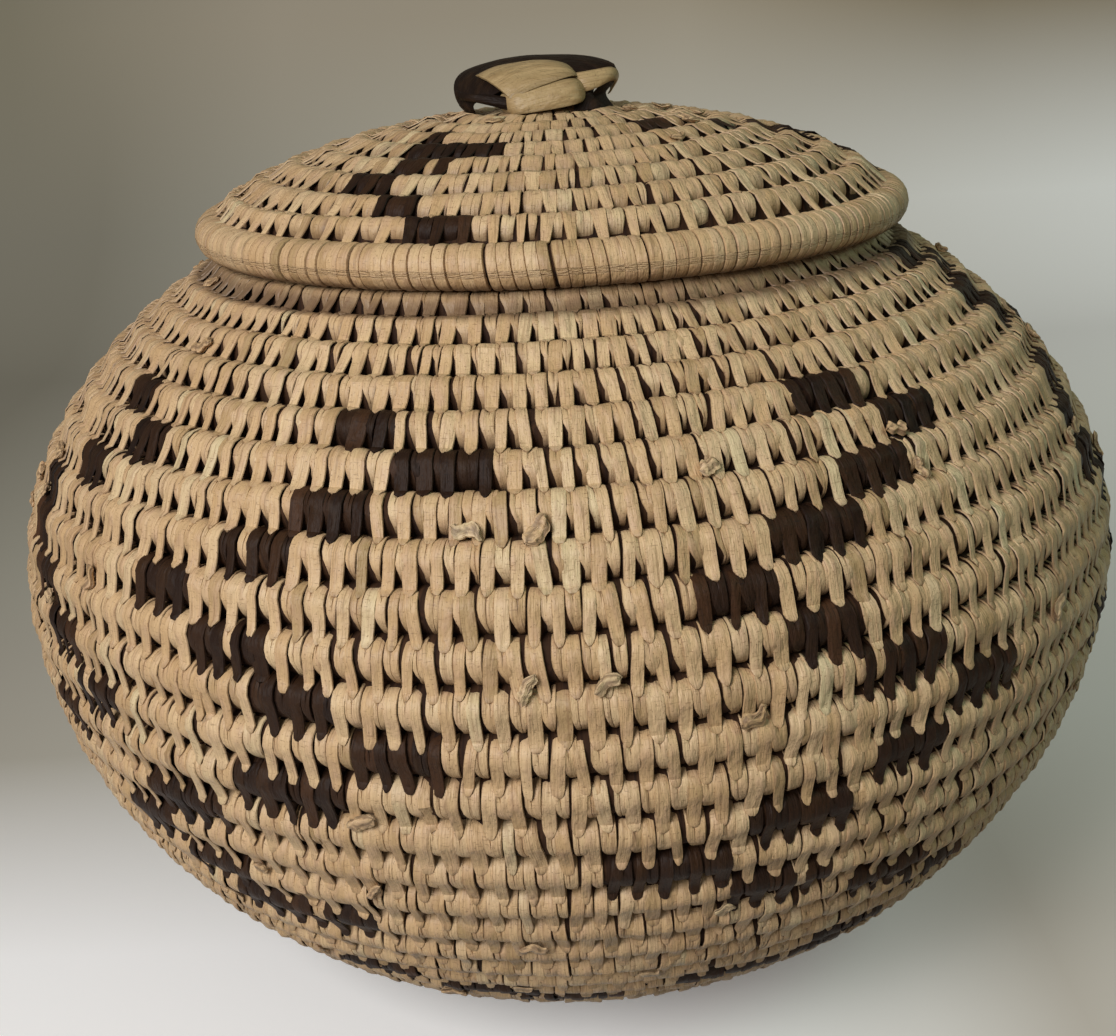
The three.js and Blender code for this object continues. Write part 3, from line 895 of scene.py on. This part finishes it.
end_lengths = np.sort(rng.uniform(*BODY_ENDS_SPAN, BODY_ENDS)) * body_wall.lengths[-1]
end_turns = np.interp(end_lengths, body_wall.lengths, body_wall.steps)
add_leaf("body_leaf_ends", "basket", [leaf_ends(body_wall, end_turns)], "natural_leaf")


# Mouth roll
# The body's last round is a separate bundle that closes the mouth. It is overcast: wrapped
# with palm leaf so closely that no core shows, and every third wrap holds the round below.

ROLL_PITCH = 3.05
ROLL_CORE_SINK = 0.4
ROLL_PLACE_SPREAD = 0.05
ROLL_WIDTH_SPREAD = 0.06
ROLL_LIFT_SPREAD = 0.07
ROLL_EDGE_SHADE = 0.8
HOLD_EVERY = 3
HOLD_START = 0.3
HOLD_TIP_ANGLE = 34
LAST_ROW_HALF = 3
ROLL_PLACES = np.array([-1, -0.82, 0, 0.82, 1])
ROLL_DROP = np.array([0.8, 0.12, 0, 0.12, 0.8])
ROLL_ANGLES = np.arange(0, 360, 20)


def overcast(centre_radius, centre_height, roll_radius, shade_below=0):
    """Closed wraps round a ring. They slant one way for a while and then the other, as the sewer's
    hand moves. The last argument is how much painted shade darkens their underside."""
    count = round(2 * np.pi * centre_radius / ROLL_PITCH)
    turns = (np.arange(count) + rng.normal(0, ROLL_PLACE_SPREAD, count)) / count
    size = 2 * np.pi * centre_radius / count * rng.normal(1, ROLL_WIDTH_SPREAD, (count, 1))
    angles = np.radians(ROLL_ANGLES)
    places = ROLL_ANGLES / 360
    slant = 0.5 + 0.9 * np.sin(2 * np.pi * turns) + 0.4 * np.sin(10 * np.pi * turns)
    aside = slant[:, None] * np.sin(angles) + drift(count, places, 0.02) * np.sin(angles / 2)
    half = size / 2 * (1.0 + 0.05 * np.cos(angles))
    across = aside[..., None] + half[..., None] * ROLL_PLACES
    twist = rng.normal(0, ROLL_LIFT_SPREAD, (count, 1))
    twist = (twist * np.sin(angles + rng.uniform(0, 6, (count, 1))))[..., None]
    lift = rng.normal(0, ROLL_LIFT_SPREAD, (count, 1, 1))
    reach = roll_radius - ROLL_DROP - lift * (1 - np.abs(ROLL_PLACES)) + twist * ROLL_PLACES
    radius = centre_radius + reach * np.cos(angles)[:, None]
    height = centre_height + reach * np.sin(angles)[:, None]
    theta = 2 * np.pi * turns[:, None, None] + across / centre_radius
    points = round_axis(radius, theta, height)
    offset = rng.uniform(0, 900, (2, count, 1, 1))
    along = (roll_radius * angles)[None, :, None] + offset[1]
    tone = tones(count)
    # Painted shade: darker along the edges of each wrap and, by the last argument, on the roll's
    # underside.
    below = np.interp(np.sin(angles), [-0.95, -0.55], [shade_below, 0])[:, None]
    painted_shade = ROLL_EDGE_SHADE * (np.abs(ROLL_PLACES) == 1) + below
    return Strips(points, across + offset[0], along, painted_shade, tone, looped=True)


def ring_core(centre_radius, centre_height, roll_radius):
    """The bundle inside an overcast ring."""
    theta = np.radians(np.arange(0, 360, 5))[:, None]
    inner = roll_radius - ROLL_CORE_SINK - CORE_UNDER_LEAF / 2
    radius = centre_radius + inner * np.cos(CORE_SIDES)
    height = centre_height + inner * np.sin(CORE_SIDES) + 0 * theta
    points = round_axis(radius, theta, height)[None]
    return Strips(points, CORE_AROUND, theta * centre_radius, 0, np.zeros(1), looped=True)


def same_section(turns, *values):
    """One section for all the turns: its middle, half width, half thickness and depth."""
    return tuple(np.full(len(turns), value) for value in values)


mouth_height = body_wall.place(mouth_distance, MOUTH_ROLL_RADIUS)[1]
mouth_ring = (MOUTH_RING_RADIUS, mouth_height, MOUTH_ROLL_RADIUS)
mouth_wraps = overcast(*mouth_ring)
hold_count = round(2 * np.pi * MOUTH_RING_RADIUS / ROLL_PITCH / HOLD_EVERY)
hold_turns = (np.arange(hold_count) + HOLD_START) / hold_count
mouth_holds = long_stitches(
    body_wall,
    hold_turns,
    -1,
    same_section(hold_turns, mouth_distance, *[MOUTH_ROLL_RADIUS] * 3),
    same_section(
        hold_turns, body_wall.end - LAST_ROW_HALF, LAST_ROW_HALF, *[BODY_THICKNESS / 2] * 2
    ),
    rng.normal(HOLD_TIP_ANGLE, 4, hold_count),
    tones(hold_count),
)
add_leaf("mouth_roll_leaf", "basket", [mouth_wraps, mouth_holds], "natural_leaf", "mouth_roll")
add_core("mouth_grass_core", "basket", ring_core(*mouth_ring))


# Lid: the coil
# The lid is a second coil that winds clockwise from the knob outwards. It is sewn the other
# way, with long stitches that reach outwards, and its rows are as wide as they are thick.

LID_RING_RADIUS = 96
LID_ROLL_RADIUS = 5.6
LID_DOME_SPREAD = 12.8
LID_DOME_RISE = 41.6
LID_THICKNESS = 10
LID_TURNS = 9
SEAT = 0.35
LID_CORE_END = LID_TURNS + 0.9
LID_PITCH = 6.4
LID_WEDGE = 0.6
LID_FLARE = 1
LID_NARROW_HALF = 3
LID_SEWN_FROM = 0.4
LID_SEWN_TO = LID_TURNS + 0.85
LID_ENDS = 6
FIRST_LID_ZIGZAG = [
    (4, 128, 1.8), (5, 121, 2.4), (5, 108, 1.6), (6, 120, 2.6), (7, 127, 2.6), (8, 117, 2.2),
    (9, 108, 3),
]
SECOND_LID_ZIGZAG = [
    (4, 46, 1.6), (5, 24, 1.8), (6, 6, 2.4), (7, -2, 2.6), (8, -12, 2.6), (9, -4, 2),
]
# A third zigzag, like the first, goes down the back.
LID_BLOCKS = FIRST_LID_ZIGZAG + SECOND_LID_ZIGZAG
LID_BLOCKS += [(row, degrees + 120, pairs) for row, degrees, pairs in FIRST_LID_ZIGZAG]

dome_radius = LID_RING_RADIUS + LID_DOME_SPREAD
roll_foot = body_wall.distance_at(
    LID_RING_RADIUS, -LID_ROLL_RADIUS - SEAT, belly_distance, body_wall.length
)
lid_roll_height = body_wall.place(roll_foot, -LID_ROLL_RADIUS - SEAT)[1]


def dome_wall(height):
    """The lid's wall, on an ellipse whose widest level is at this height."""
    dome = ellipse_arc(dome_radius, LID_DOME_RISE, height, math.pi / 2, 0)
    return CoiledWall(dome, -1, LID_THICKNESS, -1)


loose_wall = dome_wall(0)
lid_roll_distance = loose_wall.distance_at(
    LID_RING_RADIUS, LID_ROLL_RADIUS, 0, loose_wall.length
)
lid_wall = dome_wall(lid_roll_height - loose_wall.place(lid_roll_distance, LID_ROLL_RADIUS)[1])
lid_end = lid_wall.end_beside(lid_roll_distance, LID_ROLL_RADIUS)
lid_wall.wind(lid_end, LID_TURNS, np.ones_like)


def under_lid_fingers(turns):
    """The coil outside this one, or the rim's roll where that coil has run out."""
    ring = same_section(turns, lid_roll_distance, *[LID_ROLL_RADIUS] * 3)
    coil = coil_section(lid_wall, np.minimum(turns + 1, LID_TURNS + 1))
    narrow = coil[1] < LID_NARROW_HALF
    return tuple(np.where(narrow, of_ring, of_coil) for of_ring, of_coil in zip(ring, coil))


lid_leaf = sew(
    lid_wall,
    lay_pairs(lid_wall, LID_SEWN_FROM, LID_SEWN_TO, LID_PITCH),
    1,
    under_lid_fingers,
    LID_BLOCKS,
    LID_WEDGE,
    LID_FLARE,
)
dress_coil("lid", "lid", lid_leaf, LID_TURNS, 4)
lid_ends = leaf_ends(lid_wall, np.sort(rng.uniform(2, LID_TURNS, LID_ENDS)))
add_leaf("lid_leaf_ends", "lid", [lid_ends], "natural_leaf")
add_core("lid_grass_core", "lid", grass_core(lid_wall, LID_CORE_END))


# Lid: the rim's roll
# A thicker ring closes the lid's edge and rests on the shoulder. Its wraps lie edge to edge.

# How much painted shade darkens the underside of the rim's roll, where it sits over the shoulder.
RIM_UNDERSIDE_SHADE = 1.2

rim_ring = (LID_RING_RADIUS, lid_roll_height, LID_ROLL_RADIUS)
add_leaf("lid_rim_leaf", "lid", [overcast(*rim_ring, RIM_UNDERSIDE_SHADE)], "natural_leaf", "lid_rim_roll")
add_core("lid_rim_grass_core", "lid", ring_core(*rim_ring))


# Lid: the collar
# Two level rings hang under the dome and fit inside the mouth, so that the lid can't slide off.

COLLAR_ROUNDS = 2
COLLAR_ROLL_RADIUS = 4.8
COLLAR_CLEARANCE = 1.6

collar_radius = MOUTH_RING_RADIUS - MOUTH_ROLL_RADIUS - COLLAR_CLEARANCE - COLLAR_ROLL_RADIUS
collar_depth = LID_THICKNESS + SEAT + COLLAR_ROLL_RADIUS
collar_distance = lid_wall.distance_at(collar_radius, collar_depth, 0, lid_roll_distance)
collar_top = lid_wall.place(collar_distance, collar_depth)[1]
for number in range(COLLAR_ROUNDS):
    ring_height = collar_top - number * (2 * COLLAR_ROLL_RADIUS + SEAM)
    ring = (collar_radius, ring_height, COLLAR_ROLL_RADIUS)
    node_name = f"lid_collar_{number + 1}"
    add_leaf(f"{node_name}_leaf", "lid", [overcast(*ring)], "natural_leaf", node_name)


# Lid: the knob
# Five broad strips of palm leaf, folded double, are interlaced over the middle of the lid.
# Each is given by its two edges, as places in millimetres across the front, back from the
# front, and up from the top of the lid.

KNOB_LEAF_THICKNESS = 0.7
KNOB_STATIONS = 48
KNOB_SIDES = 9
BROAD_TONE = 0.5
BROAD_DYED_TONE = 0.05
BROAD_RAMP = ((0.0, "a88d63"), (1.0, "c2a578"))
BROAD_STAINS_AND_SHADE = ("96784f", "7c6242", "43331f")
BROAD_ROUGHNESS = 0.45


def smooth_line(points, count):
    """An even curve through the points."""
    points = np.array(points, float)
    before, after = 2 * points[:1] - points[1:2], 2 * points[-1:] - points[-2:-1]
    padded = np.concatenate([before, points, after])
    place = np.linspace(0, len(points) - 1, count)
    first = np.minimum(place.astype(int), len(points) - 2)
    part = (place - first)[:, None]
    a, b, c, d = (padded[first + step] for step in range(4))
    cubic = 1.5 * (b - c) + (d - a) / 2
    return b + part * ((c - a) / 2 + part * (a - 2.5 * b + 2 * c - d / 2 + part * cubic))


def ribbon(back_edge, front_edge, bulge, tone):
    """A folded strip between two edges, a little rounded across, with true thickness."""
    count = KNOB_STATIONS
    back, front = smooth_line(back_edge, count), smooth_line(front_edge, count)
    way = np.gradient((back + front) / 2, axis=0)
    out = np.cross(way, back - front)
    out /= np.linalg.norm(out, axis=1, keepdims=True)
    share = np.linspace(0, 1, KNOB_SIDES)[:, None]
    face = back[:, None] * (1 - share) + front[:, None] * share
    wave = drift(1, np.linspace(0, 1, count), 0.08)[0][:, None, None]
    crown = bulge * (1 - (2 * share - 1) ** 2) + wave
    thick = KNOB_LEAF_THICKNESS / 2 * (1 - 0.75 * (2 * share - 1) ** 8)
    upper = face + out[:, None] * (crown + thick)
    lower = face + out[:, None] * (crown - thick)
    points = np.concatenate([upper, lower[:, ::-1]], axis=1)
    points[..., 2] += lid_top
    width = np.linalg.norm(back - front, axis=1)[:, None]
    ways = np.concatenate([share[:, 0], share[::-1, 0]])
    along = np.cumsum(np.linalg.norm(way, axis=1))[:, None]
    # Painted shade along the strip's two edges.
    painted_shade = 0.5 * (np.abs(2 * ways - 1) == 1)
    shift = rng.uniform(0, 500)
    across = ways * width + shift
    return Strips(points[None] / 1000, across, along + shift, painted_shade, np.array([tone]))


broad_leaf = leaf_material(
    "broad_palm_leaf", BROAD_RAMP, BROAD_STAINS_AND_SHADE, BROAD_ROUGHNESS, LEAF_SHINE
)
lid_top = lid_wall.outline[0, 1]

# Each strip's leaf, how far it bulges, and the two edges of each of its passes in turn.
KNOB_STRIPS = {
    "knob_strip_middle": (
        "natural_leaf",
        1.5,
        [(-19.4, -1, 8.9), (-15.5, 0, 10.4), (-11.2, 1, 11.3), (-3.6, 0, 11.9), (3, 1, 10.6),
         (8, 1, 7.5)],
        [(-9.6, -13.8, 2.9), (-6.5, -14.2, 4), (-2, -14, 5.6), (7.1, -11.5, 8), (10, -7, 7.2),
         (12, -4, 5)],
    ),
    "knob_strip_front": (
        "natural_leaf",
        0.9,
        [(-12, -8, 4), (-8.6, -12.4, 4.6), (-1, -12.8, 6.2), (6.4, -11.8, 7.4), (9.3, -9.4, 7),
         (9.6, -5, 6)],
        [(-11.5, -8.5, -1), (-7.8, -14.6, -1.3), (0, -15.4, -0.5), (7, -14.6, 0.4),
         (10.2, -11.4, 1), (10.8, -6, 1.2)],
        [(6.5, -5, 8.3), (9.5, -7.4, 8.7), (14, -7.2, 9.2), (18.4, -5, 9.6), (20, 0, 8.6),
         (18.4, 6, 5)],
        [(8, -7, 3.4), (11.3, -9.6, 3.6), (14.5, -9.4, 4.4), (18.4, -6.8, 5.8), (19.8, -1, 5),
         (18, 5, 1.5)],
    ),
    "knob_strip_back": (
        "dyed_leaf",
        0.7,
        [(-22, 2, -1.6), (-25.2, 3.5, 1.5), (-26, 6, 6), (-24, 9, 9), (-19, 11, 10.9),
         (-12, 12, 12.2), (-3, 10, 12.7), (6, 7, 13), (14, 4, 12), (19.4, 2, 9.5), (20, 1, 6),
         (17.2, -2, 2.4), (19.5, -4, -1.6)],
        [(-20, -3, -1.6), (-20, -6, 1.5), (-14, -9, 4), (-10, -8, 6.2), (-9, -5, 8.3),
         (-8, -0.5, 10.6), (-3.5, -1, 12), (6, -7, 9.2), (13, -7.2, 9), (19.2, -5, 8.6),
         (15, -7.5, 4.5), (12.2, -8, 1.5), (11, -9, -1.6)],
    ),
    "knob_cross_strip_left": (
        "dyed_leaf",
        0.5,
        [(-25, -2, 5.2), (-22, -8, 4.6), (-17, -10.5, 4.4), (-12, -11.5, 3.6), (-8.5, -10, 2.8),
         (-5, -2, 3), (-3, 6, 3.4), (-2, 11, 2.2), (-2, 13, -1.4)],
        [(-24.4, -2.5, 2.6), (-20.5, -8.5, 2.3), (-15.5, -11.5, 1.2), (-10, -12.5, -0.3),
         (-6, -11.5, -0.8), (-1, -4, 1), (3, 5, 2), (5, 10, 1), (5, 12, -1.5)],
        [(-17, 3, 6), (-12, 1, 8.6), (0, 0, 9.4), (10, 0, 8.8), (15, 2, 7.4)],
        [(-15, 2, 1), (-11, -3, -1), (0, -5, -1), (9, -4, -1), (12, -2, -1)],
    ),
    "knob_cross_strip_right": (
        "dyed_leaf",
        0.5,
        [(7.5, -11, -1.6), (9.2, -9.6, 1.6), (10.5, -8, 4.4), (9.5, 0, 8), (9, 7, 9),
         (8.5, 12.5, 5), (8, 14, -1.6)],
        [(16.8, -9, -1.6), (15.6, -8, 0.6), (13.2, -7.2, 2.6), (14.5, 0, 6.5), (14.5, 6, 8),
         (14, 10.5, 4), (13.5, 12, -1.6)],
    ),
}
for name, (slot, bulge, *edges) in KNOB_STRIPS.items():
    natural = slot == "natural_leaf"
    leaf, tone = (broad_leaf, BROAD_TONE) if natural else (LEAVES[slot], BROAD_DYED_TONE)
    kinds = [ribbon(back, front, bulge, tone) for back, front in zip(edges[::2], edges[1::2])]
    add_leaf(f"{name}_leaf", "lid", kinds, slot, name, material=leaf)


# Setting
# The basket stands on a sweep of paper with painted light and shade graded across it, that glows a
# little as painted light and throws no light back on it. A soft light stands at the front left
# above the lid, a greenish one fills from the right, a weak one stands behind, and the room is
# brightest at the front left.

SWEEP_WIDTH = 3
SWEEP_FRONT = -1.6
SWEEP_BEND = 0.75
SWEEP_RADIUS = 0.3
SWEEP_HEIGHT = 1.6
KEY_PLACE = (-0.47, -0.78, 0.66)
KEY_SIZE = 0.5
KEY_WATTS = 8.2
GLOW_PLACE = (0.62, 0.5, 0.45)
GLOW_RADIUS = 0.15
GLOW_WATTS = 0.7
GLOW_COLOUR = "f6ffe8"
FILL_PLACE = (0.78, -0.28, 0.76)
FILL_RADIUS = 0.2
FILL_WATTS = 5.6
FILL_COLOUR = "ccffe8"
ROOM_STRENGTH = 0.3
ROOM_BRIGHTEST = (-0.45, -0.75, 0.55)
LIGHTS_AIM = (0, 0, 0.12)
PAPER_GLOW = 0.2
PAPER_ROUGHNESS = 0.9

# Painted light and shade on the paper, as shades from left to right, as shares of its width in
# view: on the floor, up the back, and close in front. The second come in as the paper rises, the
# third as it comes nearer, in metres. The shades of the room go from the back to its brightest
# side.
PAPER_IN_VIEW = (-0.8, 0.8)
UPPER_COMES_IN = (0.08, 0.25)
NEAR_COMES_IN = (0.1, -0.04)
FLOOR_SHADES = ((0.25, "8f897b"), (0.45, "c4bfb2"), (0.6, "d6d2c9"), (0.85, "f3f2f0"))
UPPER_SHADES = ((0.2, "948c79"), (0.35, "b3a795"), (0.58, "b7aa97"), (0.74, "92836c"))
NEAR_SHADES = ((0.5, "f7f6f5"), (0.56, "dcd6d0"), (0.585, "c0b6ab"), (0.63, "d4ccc2"))
ROOM_SHADES = ((0.05, "1c1b18"), (0.4, "57554c"), (0.7, "a3a198"), (1.0, "f2f0ec"))

bend = np.radians(np.linspace(0, 90, 25))
profile = [(SWEEP_FRONT, 0)]
profile += [
    (SWEEP_BEND + SWEEP_RADIUS * math.sin(angle), SWEEP_RADIUS * (1 - math.cos(angle)))
    for angle in bend
]
profile += [(SWEEP_BEND + SWEEP_RADIUS, SWEEP_HEIGHT)]
corners = [(x, y, z) for y, z in profile for x in (-SWEEP_WIDTH / 2, SWEEP_WIDTH / 2)]
faces = [(2 * i, 2 * i + 1, 2 * i + 3, 2 * i + 2) for i in range(len(profile) - 1)]
sweep_mesh = bpy.data.meshes.new("paper_sweep")
sweep_mesh.from_pydata(corners, [], faces)
sweep_mesh.shade_smooth()

paper, tree, shader = new_material("paper_with_painted_light")
place = node(tree, "ShaderNodeNewGeometry").outputs["Position"]
place = node(tree, "ShaderNodeSeparateXYZ", {"Vector": place})


def share_of_way(axis, low, high):
    """How far a place on the paper lies on the way from low to high, in metres."""
    links = {"Value": place.outputs[axis]}
    way = node(tree, "ShaderNodeMapRange", links, From_Min=low, From_Max=high)
    return way.outputs["Result"]


across = {"Fac": share_of_way("X", *PAPER_IN_VIEW)}
paper_colour = node(tree, "ShaderNodeValToRGB", across, FLOOR_SHADES).outputs["Color"]
for shades, axis, limits in (
    (UPPER_SHADES, "Z", UPPER_COMES_IN),
    (NEAR_SHADES, "Y", NEAR_COMES_IN),
):
    shade = node(tree, "ShaderNodeValToRGB", across, shades).outputs["Color"]
    links = {"Factor": share_of_way(axis, *limits), "A": paper_colour, "B": shade}
    paper_colour = node(tree, "ShaderNodeMix", links, data_type="RGBA").outputs["Result"]
tree.links.new(paper_colour, shader.inputs["Base Color"])
tree.links.new(paper_colour, shader.inputs["Emission Color"])
shader.inputs["Emission Strength"].default_value = PAPER_GLOW
shader.inputs["Roughness"].default_value = PAPER_ROUGHNESS
sweep_mesh.materials.append(paper)
paper_sweep = add_object("paper_sweep", sweep_mesh)
paper_sweep.visible_diffuse = False

room = bpy.data.worlds.new("room")
room.use_nodes = True
tree = room.node_tree
way = node(tree, "ShaderNodeTexCoord").outputs["Generated"]
frontward = node(tree, "ShaderNodeVectorMath", {0: way}, operation="DOT_PRODUCT")
frontward.inputs[1].default_value = ROOM_BRIGHTEST
links = {"Value": frontward.outputs["Value"]}
share = node(tree, "ShaderNodeMapRange", links, From_Min=-1, From_Max=1).outputs["Result"]
room_colour = node(tree, "ShaderNodeValToRGB", {"Fac": share}, ROOM_SHADES).outputs["Color"]
tree.links.new(room_colour, tree.nodes["Background"].inputs["Color"])
tree.nodes["Background"].inputs["Strength"].default_value = ROOM_STRENGTH
bpy.context.scene.world = room

key = bpy.data.lights.new("key_light", "AREA")
key.energy = KEY_WATTS
key.size = KEY_SIZE
glow = bpy.data.lights.new("glow_light", "POINT")
glow.energy = GLOW_WATTS
glow.shadow_soft_size = GLOW_RADIUS
glow.color = linear(GLOW_COLOUR)[:3]
fill = bpy.data.lights.new("fill_light", "POINT")
fill.energy = FILL_WATTS
fill.shadow_soft_size = FILL_RADIUS
fill.color = linear(FILL_COLOUR)[:3]
for data, spot in ((key, KEY_PLACE), (glow, GLOW_PLACE), (fill, FILL_PLACE)):
    light = add_object(data.name, data)
    light.location = spot
    aim = Vector(LIGHTS_AIM) - light.location
    light.rotation_euler = aim.to_track_quat("-Z", "Y").to_euler()
    light.visible_camera = False
bpy.context.scene.view_settings.view_transform = "Standard"
